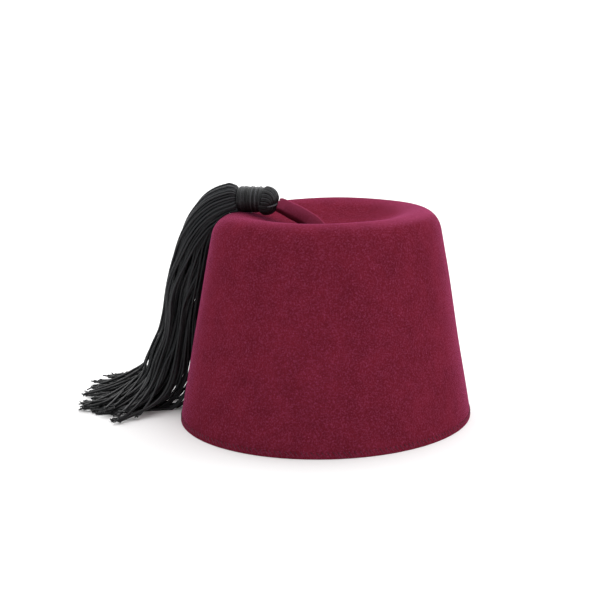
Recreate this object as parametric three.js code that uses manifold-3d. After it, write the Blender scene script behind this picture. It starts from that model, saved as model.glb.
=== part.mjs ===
// A fez: a hollow crown of blocked wool felt with a dished top, a rolled felt stem sewn to the middle of
// the dish, and a tassel of twisted cord. The tassel's cords are folded into a head at the stem's cut end
// and bound beside the fold. They fall over the wearer's right side and fan out on the table that the hat
// stands on.
// Millimetres, +Z up. The origin is the middle of the head opening, in the plane of the hem, the wearer
// faces -Y and the tassel hangs towards -X.

import * as THREE from "three";
import { mergeVertices } from "three/addons/utils/BufferGeometryUtils.js";
import Module from "manifold-3d";

const wasm = await Module();
wasm.setup();

// Driving dimensions

// The crown's radii are those of a round hat, which the oval then stretches to the shape of a head.
const CROWN = {
  hemRadius: 95.1,
  crestRadius: 60,
  crestHeight: 123.6,
  shoulderRadius: 14.3,
  dishDepth: 13,
  dishRim: 0.76, // shares of the crest's radius: how far the top stays level inside the crest
  dishFloor: 0.5, // and how far the dish's floor stays level
  wall: 2.6,
  oval: 1.2, // front-to-back length over side-to-side width
};

// Where the crest stands lower or higher than a level rim: bearing from +X and spread are in degrees.
const CREST_DENTS = [
  { where: "under the tassel", bearing: 180, spread: 45, drop: 2.6 },
  { where: "across from the tassel", bearing: 0, spread: 60, drop: -0.4 },
];

// The stem's middle line, from below the dish to the cut end that the tassel's head is sewn to.
const STEM = { radius: 4.6, flatten: 0.92, steps: 12, divisions: 10 };
const STEM_ROUTE = [
  { at: "root", out: 2, height: 105 },
  { at: "dish", out: 7.2, height: 112.4 },
  { at: "rise", out: 14.6, height: 118.7 },
  { at: "tip", out: 29.4, height: 126 },
];

// The folded head and the bound neck lie along level axes. Radii are across those axes.
const HEAD = { out: 35.6, height: 127.8, halfLength: 6.3, radius: 8.8 };
const NECK = { height: 128.5, radius: 5.9 };
const BINDING = { start: 38, end: 54.6, radius: 7.1, swell: 0.3 };

// The bundle of cords from the neck to the tips: how far out from the crown's axis and how high its
// middle runs, its half sizes away from the felt (deep) and across that (wide), and the turn in degrees
// of its width, which opens the fan towards the wearer's face.
const BUNDLE = [
  { at: "inside the binding", out: 46, height: 128.5, deep: 5.6, wide: 5.6, turn: 0 },
  { at: "end of the binding", out: 54.9, height: 128.6, deep: 6, wide: 6.2, turn: 0 },
  { at: "flare", out: 57.6, height: 129.1, deep: 8.4, wide: 9, turn: 0 },
  { at: "over the crest", out: 67, height: 126, deep: 8.8, wide: 10.5, turn: 0 },
  { at: "over the shoulder", out: 75.2, height: 116.2, deep: 9.6, wide: 11.5, turn: 0 },
  { at: "top of the drop", out: 79.4, height: 106.2, deep: 10.4, wide: 12.5, turn: 0 },
  { at: "upper drop", out: 84.2, height: 90, deep: 11.4, wide: 13.5, turn: 0 },
  { at: "middle of the drop", out: 89, height: 70, deep: 11.8, wide: 14.5, turn: 0 },
  { at: "lower drop", out: 92.6, height: 51, deep: 11.6, wide: 15.5, turn: 3 },
  { at: "foot of the drop", out: 97.2, height: 33, deep: 13, wide: 18.5, turn: 9 },
  { at: "bend onto the table", out: 108.5, height: 14.5, deep: 13.5, wide: 30, turn: 16 },
  { at: "lying", out: 127, height: 5.6, deep: 6, wide: 51, turn: 22 },
  { at: "tips", out: 155, height: 2.6, deep: 2.8, wide: 75, turn: 25 },
];

// Locks of cord: place in the bundle's section, as shares of its half sizes, and the share of the
// bundle's run at which the lock ends.
const LOCKS = [
  { deep: 0.0, wide: 0.0, end: 0.99 },
  { deep: 0.56, wide: 0.0, end: 0.975 },
  { deep: 0.4, wide: 0.42, end: 0.965 },
  { deep: 0.0, wide: 0.58, end: 0.95 },
  { deep: -0.42, wide: 0.4, end: 0.98 },
  { deep: -0.56, wide: 0.0, end: 1.0 },
  { deep: -0.4, wide: -0.42, end: 0.985 },
  { deep: -0.1, wide: -0.58, end: 0.955 },
  { deep: 0.42, wide: -0.4, end: 0.97 },
];
const LOCK = { radius: 0.47, tipRadius: 0.2, taperStart: 0.78, ringsPerRow: 2, sides: 8 };

const SEAT_GAP = 0.35; // between pieces that touch on the real hat
const CROWN_SIDES = 56;
const PROFILE_DIVISIONS = 6;
const ROUND_SIDES = 24;
const BELOW_HEM = 1; // how far cutting bodies reach past the hem's plane
const TABLE = { size: 1000, depth: 40 }; // the block that trims what would reach below the table

// Colours and finishes
const FELT = new THREE.MeshStandardMaterial({ color: 0x6e1f32, roughness: 0.95, metalness: 0 });
const CORD = new THREE.MeshStandardMaterial({ color: 0x1b1b1d, roughness: 0.55, metalness: 0 });
const THREAD = new THREE.MeshStandardMaterial({ color: 0x232325, roughness: 0.45, metalness: 0 });

// Joins and cuts

function toSolid(geometry) {
  const bare = geometry.clone();
  bare.deleteAttribute("normal");
  bare.deleteAttribute("uv");
  const merged = mergeVertices(bare, 1e-4);
  return new wasm.Manifold(
    new wasm.Mesh({
      numProp: 3,
      vertProperties: merged.attributes.position.array,
      triVerts: new Uint32Array(merged.index.array),
    }),
  );
}

function toGeometry(solid) {
  const mesh = solid.getMesh();
  const geometry = new THREE.BufferGeometry();
  geometry.setAttribute("position", new THREE.BufferAttribute(mesh.vertProperties, 3));
  geometry.setIndex(new THREE.BufferAttribute(mesh.triVerts, 1));
  geometry.computeVertexNormals();
  return geometry;
}

function piece(name, geometry, material) {
  const mesh = new THREE.Mesh(geometry, material);
  mesh.name = name;
  return mesh;
}

// A lathe about Z of a profile of (radius, height) points.
function turned(points, sides) {
  return new THREE.LatheGeometry(points, sides).rotateX(Math.PI / 2);
}

// Crown

// Lean of the crown's straight side, so that it meets the shoulder's arc without a corner.
function crownLean() {
  const inward = CROWN.crestRadius - CROWN.hemRadius;
  const upward = CROWN.crestHeight - CROWN.shoulderRadius;
  const toArc = Math.atan2(upward, inward);
  return toArc - Math.asin(CROWN.shoulderRadius / Math.hypot(inward, upward)) - Math.PI / 2;
}

function crestDrop(bearing) {
  return CREST_DENTS.reduce((sum, dent) => {
    const apart = bearing - THREE.MathUtils.degToRad(dent.bearing);
    const turn = Math.atan2(Math.sin(apart), Math.cos(apart));
    return sum + dent.drop * Math.exp(-((turn / THREE.MathUtils.degToRad(dent.spread)) ** 2));
  }, 0);
}

// The dents and the oval, put into a round form's vertices.
function shapeToHead(geometry) {
  const { crestHeight, crestRadius, shoulderRadius, oval } = CROWN;
  const position = geometry.attributes.position;
  const point = new THREE.Vector3();
  for (let i = 0; i < position.count; i += 1) {
    point.fromBufferAttribute(position, i);
    const high = THREE.MathUtils.smoothstep(point.z, crestHeight - 2 * shoulderRadius, crestHeight);
    const outside = THREE.MathUtils.smoothstep(Math.hypot(point.x, point.y), 0, crestRadius);
    point.z -= crestDrop(Math.atan2(point.y, point.x)) * high * outside;
    position.setXYZ(i, point.x / Math.sqrt(oval), point.y * Math.sqrt(oval), point.z);
  }
  return geometry;
}

// The crown's form as a filled body, grown by an offset from the outer surface, standing on foot.
function crownForm(offset, foot) {
  const { hemRadius, crestRadius, crestHeight, shoulderRadius, dishDepth, dishRim, dishFloor } = CROWN;
  const lean = crownLean();
  const footRadius = hemRadius - foot * Math.tan(lean) + offset / Math.cos(lean);
  const crest = crestHeight + offset;
  const dish = crest - dishDepth;
  const profile = new THREE.Path();
  profile.moveTo(0, foot);
  profile.lineTo(footRadius, foot);
  profile.absarc(
    crestRadius, crestHeight - shoulderRadius, shoulderRadius + offset, lean, Math.PI / 2, false,
  );
  profile.bezierCurveTo(dishRim * crestRadius, crest, dishFloor * crestRadius, dish, 0, dish);
  return shapeToHead(turned(profile.getPoints(PROFILE_DIVISIONS), CROWN_SIDES));
}

function crown() {
  const hollow = toSolid(crownForm(-CROWN.wall, -BELOW_HEM));
  return piece("crown", toGeometry(toSolid(crownForm(0, 0)).subtract(hollow)), FELT);
}

// Stem

function stemSolid(grow) {
  const route = new THREE.CatmullRomCurve3(
    STEM_ROUTE.map((row) => new THREE.Vector3(-row.out, 0, row.height)),
  );
  const section = new THREE.Shape();
  section.absellipse(0, 0, STEM.radius * STEM.flatten + grow, STEM.radius + grow, 0, 2 * Math.PI);
  const sweep = { extrudePath: route, steps: STEM.steps, curveSegments: STEM.divisions };
  return toSolid(new THREE.ExtrudeGeometry(section, sweep));
}

function stem(keepOut) {
  return piece("stem", toGeometry(stemSolid(0).subtract(keepOut)), FELT);
}

// Tassel

// A closed tube: rings of points, each a function of the share along it, with flat ends.
function loft(steps, sides, pointAt) {
  const vertices = [];
  const triangles = [];
  const ends = [steps * sides + sides, steps * sides + sides + 1];
  for (let step = 0; step <= steps; step += 1) {
    for (let side = 0; side < sides; side += 1) {
      vertices.push(pointAt(step / steps, (2 * Math.PI * side) / sides));
      const next = (side + 1) % sides;
      const [a, b] = [step * sides + side, step * sides + next];
      if (step < steps) triangles.push(a, b, a + sides, b, b + sides, a + sides);
      if (step === 0) triangles.push(ends[0], b, a);
      if (step === steps) triangles.push(ends[1], a, b);
    }
  }
  vertices.push(middle(vertices.slice(0, sides)), middle(vertices.slice(-sides)));
  return new THREE.BufferGeometry().setFromPoints(vertices).setIndex(triangles);
}

function middle(points) {
  return points.reduce((sum, p) => sum.add(p), new THREE.Vector3()).divideScalar(points.length);
}

// A point of the bundle: share along its run, and shares of its half sizes away from the felt and across.
const bundleRoute = new THREE.CatmullRomCurve3(
  BUNDLE.map((row) => new THREE.Vector3(-row.out, 0, row.height)),
);
const bundleSize = new THREE.CatmullRomCurve3(
  BUNDLE.map((row) => new THREE.Vector3(row.deep, row.wide, row.turn)),
);
function inBundle(along, deep, wide) {
  const run = bundleRoute.getTangent(along);
  const size = bundleSize.getPoint(along);
  const turn = THREE.MathUtils.degToRad(size.z);
  const away = new THREE.Vector3(run.z, 0, -run.x);
  const across = new THREE.Vector3(-Math.sin(turn), Math.cos(turn), 0);
  return bundleRoute
    .getPoint(along)
    .addScaledVector(away, deep * size.x)
    .addScaledVector(across, wide * size.y);
}

function lock(row) {
  const { radius, tipRadius, taperStart, ringsPerRow, sides } = LOCK;
  return loft(ringsPerRow * (BUNDLE.length - 1), sides, (share, turn) => {
    const along = share * row.end;
    const taper = THREE.MathUtils.smoothstep(along, taperStart, 1);
    const half = THREE.MathUtils.lerp(radius, tipRadius, taper);
    return inBundle(along, row.deep + radius * Math.cos(turn), row.wide + half * Math.sin(turn));
  });
}

// A body turned about a level axis that runs out from the crown's axis, at a height.
function alongOut(points, height) {
  return turned(points, ROUND_SIDES).rotateY(-Math.PI / 2).translate(0, 0, height);
}

function tassel(keepOut) {
  const head = new THREE.SphereGeometry(1, ROUND_SIDES, ROUND_SIDES / 2)
    .scale(HEAD.halfLength, HEAD.radius, HEAD.radius)
    .translate(-HEAD.out, 0, HEAD.height);
  const neck = alongOut(
    [[0, HEAD.out], [NECK.radius, HEAD.out], [NECK.radius, BINDING.end], [0, BINDING.end]].map(
      ([radius, out]) => new THREE.Vector2(radius, out),
    ),
    NECK.height,
  );
  const table = new THREE.BoxGeometry(TABLE.size, TABLE.size, TABLE.depth).translate(
    0, 0, -TABLE.depth / 2,
  );
  const bundle = [head, neck, ...LOCKS.map(lock)]
    .map(toSolid)
    .reduce((whole, part) => whole.add(part));
  const cut = bundle
    .subtract(keepOut)
    .subtract(stemSolid(SEAT_GAP))
    .subtract(bindingSolid(SEAT_GAP))
    .subtract(toSolid(table));
  return piece("tassel", toGeometry(cut), CORD);
}

// The thread wound round the neck: a sleeve that swells a little in the middle, grown by grow for the
// room that it takes up.
function bindingSolid(grow) {
  const { start, end, radius, swell } = BINDING;
  const inside = NECK.radius + SEAT_GAP - grow;
  const outside = radius + grow;
  const [first, last] = [start - grow, end + grow];
  const profile = new THREE.Path();
  profile.moveTo(inside, first);
  profile.lineTo(outside, first);
  profile.quadraticCurveTo(outside + 2 * swell, (first + last) / 2, outside, last);
  profile.lineTo(inside, last);
  profile.lineTo(inside, first);
  return toSolid(alongOut(profile.getPoints(PROFILE_DIVISIONS), NECK.height));
}

// Assembly

const keepOut = toSolid(crownForm(SEAT_GAP, -BELOW_HEM));
const fez = new THREE.Group();
fez.add(
  crown(),
  stem(keepOut),
  tassel(keepOut),
  piece("tassel_binding", toGeometry(bindingSolid(0)), THREAD),
);

export default fez;
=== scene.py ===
# A fez of burgundy wool felt with a black corded tassel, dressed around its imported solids.
# Lengths are in metres and +Z is up. The origin is the middle of the head opening, the wearer faces -Y and
# the tassel hangs towards -X.

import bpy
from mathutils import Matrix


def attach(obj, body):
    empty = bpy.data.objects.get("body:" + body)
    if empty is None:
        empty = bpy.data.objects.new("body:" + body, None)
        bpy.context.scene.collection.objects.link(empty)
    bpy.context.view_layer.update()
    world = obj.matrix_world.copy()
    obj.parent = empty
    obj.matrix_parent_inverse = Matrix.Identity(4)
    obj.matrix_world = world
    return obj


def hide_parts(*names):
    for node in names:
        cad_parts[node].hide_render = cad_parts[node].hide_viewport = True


bl_info = {
    "name": "Felt fez",
    "version": (1, 0, 0),
    "blender": (4, 5, 0),
    "location": "3D View > Sidebar > Fez",
    "description": "Models a felt fez and its corded tassel around their packed solids",
    "category": "Add Mesh",
}

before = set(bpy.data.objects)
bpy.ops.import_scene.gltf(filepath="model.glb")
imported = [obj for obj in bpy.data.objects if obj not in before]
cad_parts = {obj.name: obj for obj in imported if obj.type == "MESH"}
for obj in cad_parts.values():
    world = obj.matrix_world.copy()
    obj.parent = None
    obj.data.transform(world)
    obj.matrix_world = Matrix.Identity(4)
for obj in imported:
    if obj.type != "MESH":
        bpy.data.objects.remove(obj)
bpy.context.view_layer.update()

import math

import bpy
import numpy as np
from bpy.props import FloatProperty, FloatVectorProperty, IntProperty, PointerProperty
from mathutils import Vector, noise

BODY = "root"
MM = 0.001

# Where the crest stands lower or higher than a level rim: bearing from +X and spread are in degrees.
CREST_DENTS = (
    {"where": "under the tassel", "bearing": 180, "spread": 45, "drop": 0.0023},
    {"where": "across from the tassel", "bearing": 0, "spread": 60, "drop": -0.0004},
)

# The stem's middle line, from below the dish to its cut end.
STEM_ROUTE = (
    {"at": "root", "out": 0.002, "height": 0.105},
    {"at": "dish", "out": 0.0057, "height": 0.1128},
    {"at": "rise", "out": 0.0136, "height": 0.1186},
    {"at": "tip", "out": 0.0335, "height": 0.1272},
)

# The bundle of cords: how far out from the crown's axis and how high its middle runs, its half sizes away
# from the felt (deep) and across that (wide), and the turn of its width in degrees, which opens the fan.
BUNDLE = (
    {"at": "inside the binding", "out": 0.046, "height": 0.1285, "deep": 0.0056, "wide": 0.0056, "turn": 0},
    {"at": "end of the binding", "out": 0.0543, "height": 0.1286, "deep": 0.0062, "wide": 0.0062, "turn": 0},
    {"at": "flare", "out": 0.0552, "height": 0.1285, "deep": 0.0092, "wide": 0.0088, "turn": 0},
    {"at": "height of the flare", "out": 0.0564, "height": 0.1282, "deep": 0.0106, "wide": 0.0097, "turn": 0},
    {"at": "past the flare", "out": 0.0592, "height": 0.1273, "deep": 0.0111, "wide": 0.0101, "turn": 0},
    {"at": "over the crest", "out": 0.0664, "height": 0.1239, "deep": 0.0115, "wide": 0.0112, "turn": 0},
    {"at": "over the shoulder", "out": 0.0748, "height": 0.1158, "deep": 0.0109, "wide": 0.0125, "turn": 0},
    {"at": "top of the drop", "out": 0.0799, "height": 0.1063, "deep": 0.011, "wide": 0.013, "turn": 0},
    {"at": "upper drop", "out": 0.0844, "height": 0.09, "deep": 0.0116, "wide": 0.0135, "turn": 0},
    {"at": "middle of the drop", "out": 0.0893, "height": 0.07, "deep": 0.0121, "wide": 0.0145, "turn": 0},
    {"at": "lower drop", "out": 0.0925, "height": 0.051, "deep": 0.0107, "wide": 0.0155, "turn": 3},
    {"at": "above the foot", "out": 0.0944, "height": 0.042, "deep": 0.011, "wide": 0.0168, "turn": 5},
    {"at": "foot of the drop", "out": 0.098, "height": 0.033, "deep": 0.0126, "wide": 0.0185, "turn": 9},
    {"at": "bend onto the table", "out": 0.1076, "height": 0.0142, "deep": 0.0124, "wide": 0.03, "turn": 16},
    {"at": "lying", "out": 0.127, "height": 0.0068, "deep": 0.0074, "wide": 0.053, "turn": 18},
    {"at": "tips", "out": 0.155, "height": 0.0042, "deep": 0.0046, "wide": 0.07, "turn": 18},
    {"at": "past the tips", "out": 0.195, "height": 0.0034, "deep": 0.0036, "wide": 0.085, "turn": 18},
)

# Cords that leave the bundle: their place in its section at the top and at the foot, as shares of its half
# sizes, and how much shorter than the others they are cut. Those with a foot near -1 or below it fall along
# the felt, the next three run round the outside of the bend, and the last two along the fan's front edge.
LOOSE_CORDS = (
    {"deep": -0.85, "wide": -0.55, "foot_deep": -1.5, "foot_wide": -0.52, "short": 0.006},
    {"deep": -0.9, "wide": -0.35, "foot_deep": -1.75, "foot_wide": -0.42, "short": 0.012},
    {"deep": -0.92, "wide": -0.1, "foot_deep": -1.6, "foot_wide": -0.3, "short": 0.004},
    {"deep": -0.95, "wide": 0.1, "foot_deep": -1.8, "foot_wide": -0.18, "short": 0.01},
    {"deep": -0.7, "wide": -0.7, "foot_deep": -1.25, "foot_wide": -0.4, "short": 0.008},
    {"deep": -0.9, "wide": 0.2, "foot_deep": -1.4, "foot_wide": -0.05, "short": 0.009},
    {"deep": -0.8, "wide": 0.45, "foot_deep": -1.65, "foot_wide": 0.2, "short": 0.006},
    {"deep": -0.85, "wide": 0.3, "foot_deep": -1.15, "foot_wide": -0.48, "short": 0.008},
    {"deep": -0.9, "wide": -0.5, "foot_deep": -1.3, "foot_wide": 0.05, "short": 0.007},
    {"deep": -0.95, "wide": -0.25, "foot_deep": -1.45, "foot_wide": -0.6, "short": 0.005},
    {"deep": -0.7, "wide": -0.3, "foot_deep": -1.05, "foot_wide": -0.35, "short": 0.005},
    {"deep": -0.65, "wide": -0.55, "foot_deep": -0.95, "foot_wide": -0.55, "short": 0.007},
    {"deep": 0.8, "wide": 0.2, "foot_deep": 1.0, "foot_wide": 0.34, "short": 0.003},
    {"deep": 0.76, "wide": 0.4, "foot_deep": 0.6, "foot_wide": 0.7, "short": 0.008},
    {"deep": 0.78, "wide": -0.1, "foot_deep": 1.1, "foot_wide": 0.12, "short": 0.002},
    {"deep": -0.3, "wide": -0.8, "foot_deep": -0.45, "foot_wide": -0.95, "short": 0.006},
    {"deep": -0.4, "wide": -0.75, "foot_deep": -0.6, "foot_wide": -0.86, "short": 0.003},
)

# Turns of the binding that cross over the others: where each starts and how far it runs, as shares of the
# binding's length, and how many times it goes round.
CROSSINGS = (
    {"first": 0.08, "reach": 0.16, "turns": 0.9},
    {"first": 0.3, "reach": -0.12, "turns": 0.7},
    {"first": 0.42, "reach": 0.2, "turns": 1.2},
    {"first": 0.56, "reach": -0.14, "turns": 0.8},
    {"first": 0.68, "reach": 0.2, "turns": 1.0},
    {"first": 0.78, "reach": -0.1, "turns": 0.7},
    {"first": 0.93, "reach": -0.16, "turns": 0.9},
)

# Walls of the light tent: the axis that each stands across (0 is +X, 1 is +Y and 2 is +Z), the span of
# directions over which it brightens, and its strength, which adds to the strength all round. Then the point
# that the camera looks at, and the floor.
TENT_BASE = 0.3
TENT_WALLS = (
    {"wall": "roof", "axis": 2, "dim": 0.3, "bright": 0.9, "strength": 1.25},
    {"wall": "back", "axis": 1, "dim": 0.0, "bright": 0.85, "strength": 1.96},
    {"wall": "right", "axis": 0, "dim": 0.1, "bright": 0.9, "strength": 0.31},
)
VIEW_AIM = (-0.0158, -0.0035, 0.069)
FLOOR_SIZE = 40.0

# How finely things are divided
CROWN_SIDES = 144
STEM_STEPS = 48
CORD_SIDES = 8
THREAD_SIDES = 6
TAIL_SIDES = 5
TAIL_POINTS = 5
RUN_SAMPLES = 420
SMOOTH_POINTS = 25
GOLDEN_TURN = math.pi * (3 - math.sqrt(5))

# Seeds of the random draws
STITCH_SEED = 7
HEAD_SEED = 11
BINDING_SEED = 5
CORD_SEED = 41

# Rings of the crown near the hem: heights at the edge, offsets from the middle of the groove that the
# stitches draw in, the groove's depth, and heights of the first plain ring and of the wall above it.
HEM_RINGS = (0.0, 0.0016)
GROOVE_RINGS = (-0.0011, -0.0004, 0.0, 0.0004, 0.0012)
GROOVE_DEPTH = 0.00016
PLAIN_RING = 0.0085
WALL_START = 0.014
HEM_ROUNDING = 0.0003

# The wall's unevenness: the width of one swell, and the height by which it is fully there.
UNEVEN_SPAN = 0.034
UNEVEN_FROM = 0.03

# A stitch: how deep its ends are sunk, how far its middle rises from there, and how thick and how light it is
# from the needle hole on, as shares. Its dark start at the hole is painted shade.
STITCH_SUNK = 0.00022
STITCH_RISE = 0.00034
STITCH_THICKNESS = np.array((1.4, 1.2, 1.0, 1.0, 1.0, 1.0))
STITCH_SHADE = np.array((0.3, 0.45, 0.95, 1.0, 1.0, 1.0))

# The stem: how deep its foot is sunk in the felt, the rounding of its cut edges, how far before its end the
# underside thins, how far before and past it the upper side is worn, and between which shares of half its
# height below the middle the painted shade on the belly sets in.
STEM_SUNK = 0.0002
STEM_ROUNDING = 0.0004
STEM_TAPER_RUN = 0.012
STEM_WORN_RUN = (0.0025, 0.001)
STEM_PAINTED_SHADE = (0.08, 0.5)

# The tassel's head, in shares of its half sizes: where the cords above and below the tie start behind its
# middle and how deep they are sunk there, the bearing of the tie, and its two ends on one side.
ABOVE_TIE = {"behind": -0.4, "sunk": 0.22}
BELOW_TIE = {"behind": -0.75, "sunk": 0.05}
TIE_TURN = math.radians(112)
TIE_NEAR = (0.36, 0.9, -0.35)
TIE_FAR = (0.9, 0.36, -0.22)

# The cord of the tie: its radius, how far it stands out and its shade. Then the plain cores under the head's
# cords and under the binding: how deep the first one lies, and their shades. The head's core is painted
# nearly black, as painted shade in the grooves between its cords.
TIE_RADIUS = 0.0005
TIE_PROUD = 0.0001
TIE_SHADE = 5.0
HEAD_CORE_DEPTH = 0.0011
HEAD_CORE_SHADE = 0.04
NECK_CORE_SHADE = 0.5

# The hand winding of the binding: how much its turns differ in shade and in height, how far they wander along
# the neck over several turns and over each turn, and how far the crossing ones are lifted, in thread radii.
WINDING_SHADES = 0.75
WINDING_UNEVEN = 0.00013
WANDER_SLOWLY = 0.00018
WANDER_EACH = 0.00022
CROSSING_LIFT = 1.6

# Stretches of the bundle, from its start: the neck, where the cords are squeezed and then come free, swirl
# and are smoothed, where the loose ones leave it, and where all lie down.
NECK_END = 0.016
SQUEEZED_RUN = (0.01, 0.06)
FREE_RUN = (0.012, 0.1)
SWIRL_RUN = (0.01, 0.09)
SMOOTH_RUN = (0.07, 0.12)
LOOSE_RUN = (0.08, 0.138)
LYING_RUN = (0.135, 0.18)

# How far the locks swirl, in radians, how closely the cords gather in them, and how much of either is undone
# where they lie. Then how far a cord turns in its lock.
SWIRL = 1.15
SWIRL_UNDONE = 0.7
GATHER = 0.3
GATHER_UNDONE = 0.6
LOCK_TURN = 0.5

# How locks, cords and loose cords waver in their place: height of each wave, as a share of the bundle's half
# size, and its length.
LOCK_WAVES = {"deep": ((0.09, 0.16), (0.05, 0.08)), "wide": ((0.1, 0.15), (0.05, 0.07))}
CORD_WAVES = {"deep": ((0.06, 0.09), (0.035, 0.045)), "wide": ((0.1, 0.11), (0.03, 0.04))}
LOOSE_WAVES = {"deep": ((0.03, 0.08),), "wide": ((0.05, 0.09),)}

# How much shorter than the fan's reach the cords are cut: the least, and the spread above it. Every seventh
# is longer, and falls short of the reach by the last length at most.
SHORT_LEAST = 0.007
SHORT_SPREAD = 0.005
LONG_CORDS = slice(3, None, 7)
LONG_CORDS_SHORT = 0.004

# Painted light and shade along a cord: how much lighter it is drawn at the neck, and how much darker it gets
# on the drop and then in the fan, with the stretches over which it does.
NECK_SHADE = 1.5
DROP_DARKER = 0.5
DROP_RUN = (0.02, 0.05)
FAN_DARKER = 0.28
FAN_RUN = (0.14, 0.17)

# A cord: the steps of its route and of its tip, how far from the end it loosens and by how much it strays
# there, the place, half length and swelling of its knot, the length and pinch of its end, and its tails.
CORD_STEP = 0.0021
TIP_STEP = 0.0007
LOOSE_END = 0.035
LOOSE_STRAY = 0.0055
KNOT_PLACE = 0.0015
KNOT_LENGTH = 0.0009
KNOT_SWELL = 0.45
END_LENGTH = 0.0006
END_PINCH = 0.35
TAIL_LENGTHS = (0.0016, 0.0028)
TAIL_RADII = (0.0005, 0.0004)

# The fan of cords on the table: how far out its foot stands, how far the cords reach from there, how much
# further for each metre towards the back, and how far along the bundle it can begin.
FAN_FOOT = 0.097
FAN_REACH = 0.0575
FAN_OPENS = 0.5
FAN_BEGINS = 0.13


def linear(hex_colour):
    """Turns an sRGB hex colour into linear red, green and blue"""
    channels = [int(hex_colour[k:k + 2], 16) / 255 for k in (1, 3, 5)]
    return tuple(c / 12.92 if c <= 0.04045 else ((c + 0.055) / 1.055) ** 2.4 for c in channels)


def length(name, description, default):
    return FloatProperty(name=name, description=description, default=default, min=0.0, unit="LENGTH")


def share(name, description, default):
    return FloatProperty(name=name, description=description, default=default, min=0.0)


def count(name, description, default):
    return IntProperty(name=name, description=description, default=default, min=1)


def angle(name, description, degrees):
    return FloatProperty(name=name, description=description, default=math.radians(degrees), subtype="ANGLE")


def colour(name, description, hex_colour):
    return FloatVectorProperty(name=name, description=description, default=linear(hex_colour),
                               subtype="COLOR", size=3, min=0.0, max=1.0)


class FEZ_PG_crown(bpy.types.PropertyGroup):
    hem_radius: length("Hem radius", "Outer radius of the round form at the hem", 0.0951)
    crest_radius: length("Crest radius", "Radius of the highest ring", 0.06)
    crest_height: length("Crest height", "Height of the highest ring above the hem", 0.1236)
    shoulder_radius: length("Shoulder radius", "Rounding between the wall and the crest", 0.0143)
    dish_depth: length("Dish depth", "How far the middle of the top lies below the crest", 0.013)
    dish_rim: share("Dish rim", "Where the dish begins to fall, as a share of the crest radius", 0.76)
    dish_floor: share("Dish floor", "Where the dish levels out, as a share of the crest radius", 0.5)
    wall: length("Wall", "Thickness of the felt", 0.0026)
    oval: share("Oval", "Length of the head opening front to back over its width", 1.2)
    unevenness: length("Unevenness", "How far the hand-blocked wall strays from its form", 0.0004)
    felt: colour("Felt", "Colour of the ground of the felt", "#641a28")
    # The pale fibre colour also paints the highlight along the crest
    lint: colour("Lint", "Colour of the pale fibre ends", "#ab4c74")


class FEZ_PG_stitches(bpy.types.PropertyGroup):
    number: count("Number", "Stitches round the hem", 186)
    row_height: length("Row height", "Height of the stitch row above the hem edge", 0.0037)
    foot_height: length("Foot height", "Height of the lower end of each stitch", 0.0011)
    radius: length("Thread radius", "Radius of the sewing thread", 0.00017)
    slant: share("Slant", "How far a stitch leans, in stitch spacings", 0.75)
    thread: colour("Thread", "Colour of the sewing thread", "#67263c")


class FEZ_PG_stem(bpy.types.PropertyGroup):
    width: length("Width", "Width of the folded felt, front to back", 0.0068)
    height: length("Height", "Height of the folded felt, square to its run", 0.0108)
    fold: length("Fold", "Rounding of the two upper folds", 0.0009)
    belly: length("Belly", "Rounding of the underside", 0.0031)
    bulge: length("Bulge", "How far the front stands out below its middle", 0.0011)
    fall: length("Fall", "How much lower the upper side is at the back than in front", 0.0016)
    end: length("End", "Distance of the end against the tassel's head from the crown's axis", 0.0297)
    slant: angle("Slant", "Lean of that end", 18)
    worn: length("Worn", "How much lower the upper side is at that end", 0.0011)
    taper: share("Taper", "How much thinner the underside gets towards that end", 0.2)
    # Painted shade: how much darker the belly is drawn, standing in for the shade under the roll
    shaded: share("Matted", "How much darker the felt is along the belly, where the roll has matted it", 0.5)
    felt: colour("Felt", "Colour of the stem's felt", "#89344c")


class FEZ_PG_tassel(bpy.types.PropertyGroup):
    cords: count("Cords", "Cords in the bundle", 124)
    locks: count("Locks", "Locks that the cords gather in", 12)
    cord_radius: length("Cord radius", "Radius of one cord", 0.00077)
    head_out: length("Head out", "Distance of the head's middle from the crown's axis", 0.037)
    head_height: length("Head height", "Height of the head's middle", 0.128)
    head_half_length: length("Head half length", "Half the head's length along the neck", 0.0079)
    head_radius: length("Head radius", "Radius of the head across the neck", 0.009)
    head_cords: count("Head cords", "Cords laid over the head", 40)
    cord: colour("Cord", "Colour of the cords", "#242527")


class FEZ_PG_binding(bpy.types.PropertyGroup):
    start: length("Start", "Distance of the head's end of the binding from the crown's axis", 0.037)
    end: length("End", "Distance of the other end from the crown's axis", 0.0541)
    height: length("Height", "Height of the neck", 0.1285)
    radius: length("Radius", "Outer radius of the wound thread", 0.0075)
    swell: length("Swell", "How much thicker the middle of the binding is", 0.0003)
    thread_radius: length("Thread radius", "Radius of the wound thread", 0.00028)
    thread: colour("Thread", "Colour of the wound thread", "#292a2c")


class FEZ_PG_stage(bpy.types.PropertyGroup):
    azimuth: angle("Azimuth", "Turn of the view round the hat", 12.87)
    elevation: angle("Elevation", "Height of the view above level", 10.4)
    distance: length("Distance", "Distance of the camera from the point that it looks at", 0.9068)
    lens: FloatProperty(name="Lens", description="Focal length on a 36 mm frame", default=90.6, unit="CAMERA")
    floor: colour("Floor", "Colour of the floor", "#efefef")


# Places and shapes shared by several pieces

def smooth_step(value, low, high):
    """Goes smoothly from 0 at low to 1 at high"""
    t = np.clip((value - low) / (high - low), 0.0, 1.0)
    return t * t * (3 - 2 * t)


def unit(vectors):
    return vectors / np.linalg.norm(vectors, axis=-1, keepdims=True)


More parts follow.
